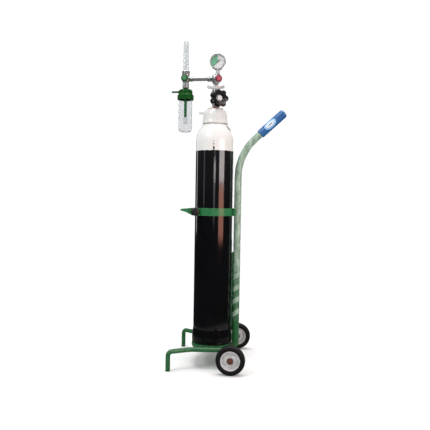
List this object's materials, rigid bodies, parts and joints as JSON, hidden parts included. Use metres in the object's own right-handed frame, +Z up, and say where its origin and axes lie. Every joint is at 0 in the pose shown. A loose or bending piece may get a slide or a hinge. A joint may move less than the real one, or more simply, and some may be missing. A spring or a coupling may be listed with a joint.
{
  "type": "oxygen cylinder",
  "caption": "Medical oxygen cylinder strapped to a two-wheeled hand trolley, with top valve, wing-nut regulator, pressure gauge, side flowmeter and bubble humidifier.",
  "frame": {"origin": "on the floor, at the middle of the footprint's bounding box", "axes": "+Z up; +X is the handle side; -X is the humidifier and the feet; -Y is the side the handwheel and the gauge face"},
  "size_m": [0.4292, 0.394, 1.186],
  "materials": {
    "green_paint": "gloss green stove paint",
    "black_white_paint": "gloss black with a white shoulder",
    "black_paint": "gloss black",
    "white_paint": "gloss white",
    "chrome": "polished chrome plate",
    "zinc": "zinc plate",
    "steel": "bright steel",
    "brass": "machined brass",
    "bronze_plastic": "brown moulded",
    "tyre_rubber": "moulded",
    "rubber": "moulded",
    "blue_grip": "smooth dipped",
    "black_plastic": "moulded",
    "red_plastic": "moulded",
    "green_plastic": "moulded",
    "knob_green": "moulded",
    "white_plastic": "sintered",
    "clear_plastic": "clear moulded plastic",
    "dial_face": "printed dial"
  },
  "bodies": {
    "trolley": {"leg_rod_left": "green_paint", "leg_rod_right": "green_paint", "foot_plug_left": "green_paint", "foot_plug_right": "green_paint", "base_plate": "green_paint", "axle": "green_paint", "axle_cap_left": "bronze_plastic", "axle_cap_right": "bronze_plastic", "handle_pole": "green_paint", "hand_grip": "blue_grip", "backrest_bar": "green_paint", "clamp_band_fixed": "green_paint", "clamp_bracket": "green_paint", "clamp_hinge_pin": "steel"},
    "wheel_left": {"tyre_left": "tyre_rubber", "rim_left": "zinc", "bearing_left": "steel"},
    "wheel_right": {"tyre_right": "tyre_rubber", "rim_right": "zinc", "bearing_right": "steel"},
    "clamp_gate": {"clamp_band_gate": "green_paint"},
    "clamp_screw": {"clamp_screw": "zinc"},
    "clamp_knob": {"clamp_knob": "black_plastic"},
    "cylinder": {"cylinder_shell": "black_white_paint", "foot_ring": "black_paint", "neck_ring": "steel", "valve_guard": "white_paint", "valve_body": "chrome", "gland_nut": "chrome", "safety_plug": "brass", "safety_cap": "red_plastic", "inlet_stem": "chrome", "regulator_body": "chrome", "diaphragm": "rubber", "regulator_bonnet": "chrome", "bonnet_cap": "red_plastic", "regulator_spring": "steel", "gauge_case": "chrome", "gauge_dial": "dial_face", "gauge_lens": "clear_plastic", "bourdon_tube": "brass", "outlet_pipe": "chrome", "flowmeter_body": "chrome", "flow_tube": "clear_plastic", "flow_tube_cover": "clear_plastic"},
    "handwheel": {"handwheel": "black_plastic", "handwheel_nut": "zinc", "valve_spindle": "steel"},
    "seat_plug": {"seat_plug": "brass"},
    "wing_nut": {"wing_nut": "chrome"},
    "gauge_pointer": {"gauge_pointer": "black_plastic"},
    "flow_knob": {"flow_knob": "knob_green", "needle_valve": "brass"},
    "float_ball": {"float_ball": "black_plastic"},
    "coupling_nut": {"coupling_nut": "chrome"},
    "humidifier": {"humidifier_lid": "green_plastic", "relief_valve": "green_plastic", "dip_tube": "green_plastic", "diffuser": "white_plastic"},
    "bottle": {"humidifier_bottle": "clear_plastic"}
  },
  "joints": [
    {"name": "wheel_left_spin", "type": "hinge", "parent": "trolley", "child": "wheel_left", "pos_m": [0.03544, -0.172, 0.051], "axis": [0, -1, 0], "continuous": true},
    {"name": "wheel_right_spin", "type": "hinge", "parent": "trolley", "child": "wheel_right", "pos_m": [0.03544, 0.172, 0.051], "axis": [0, 1, 0], "continuous": true},
    {"name": "gate_swing", "type": "hinge", "parent": "trolley", "child": "clamp_gate", "pos_m": [0.03044, -0.0235, 0.555], "axis": [0, 0, 1], "range_deg": [0, 110]},
    {"name": "clamp_screw_travel", "type": "slide", "parent": "clamp_gate", "child": "clamp_screw", "axis": [0.249, -0.9685, 0], "range_m": [0, 0.01]},
    {"name": "clamp_knob_turn", "type": "hinge", "parent": "clamp_screw", "child": "clamp_knob", "pos_m": [-0.11156, -0.06, 0.555], "axis": [0.249, -0.9685, 0], "range_deg": [0, 2880]},
    {"name": "cylinder_turn", "type": "hinge", "parent": "trolley", "child": "cylinder", "pos_m": [-0.04956, 0, 0.071], "axis": [0, 0, 1], "range_deg": [-120, 120]},
    {"name": "handwheel_turn", "type": "hinge", "parent": "cylinder", "child": "handwheel", "pos_m": [-0.04956, 0, 0.966], "axis": [0.342, -0.9397, 0], "range_deg": [0, 900]},
    {"name": "seat_plug_travel", "type": "slide", "parent": "cylinder", "child": "seat_plug", "axis": [0.342, -0.9397, 0], "range_m": [0, 0.004]},
    {"name": "wing_nut_turn", "type": "hinge", "parent": "cylinder", "child": "wing_nut", "pos_m": [-0.04956, 0, 1.007], "axis": [0, 0, 1], "range_deg": [0, 720]},
    {"name": "pointer_swing", "type": "hinge", "parent": "cylinder", "child": "gauge_pointer", "pos_m": [-0.04306, -0.002, 1.1075], "axis": [0, -1, 0], "range_deg": [-270, 0], "stiffness_Nm_per_rad": 0.0005},
    {"name": "flow_knob_turn", "type": "hinge", "parent": "cylinder", "child": "flow_knob", "pos_m": [-0.16256, 0, 1.044], "axis": [0, -1, 0], "range_deg": [0, 720]},
    {"name": "ball_rise", "type": "slide", "parent": "cylinder", "child": "float_ball", "axis": [0, 0, 1], "range_m": [0, 0.095]},
    {"name": "coupling_nut_turn", "type": "hinge", "parent": "cylinder", "child": "coupling_nut", "pos_m": [-0.16256, 0, 1.021], "axis": [0, 0, 1], "continuous": true},
    {"name": "humidifier_swivel", "type": "hinge", "parent": "cylinder", "child": "humidifier", "pos_m": [-0.16256, 0, 1.01], "axis": [0, 0, 1], "range_deg": [-120, 120]},
    {"name": "bottle_removal", "type": "slide", "parent": "humidifier", "child": "bottle", "axis": [0, 0, -1], "range_m": [0, 0.15]}
  ],
  "couplings": [
    {"joint": "seat_plug_travel", "follows": "handwheel_turn", "m_per_rad": 0.00025465},
    {"joint": "clamp_screw_travel", "follows": "clamp_knob_turn", "m_per_rad": 0.00019894}
  ]
}
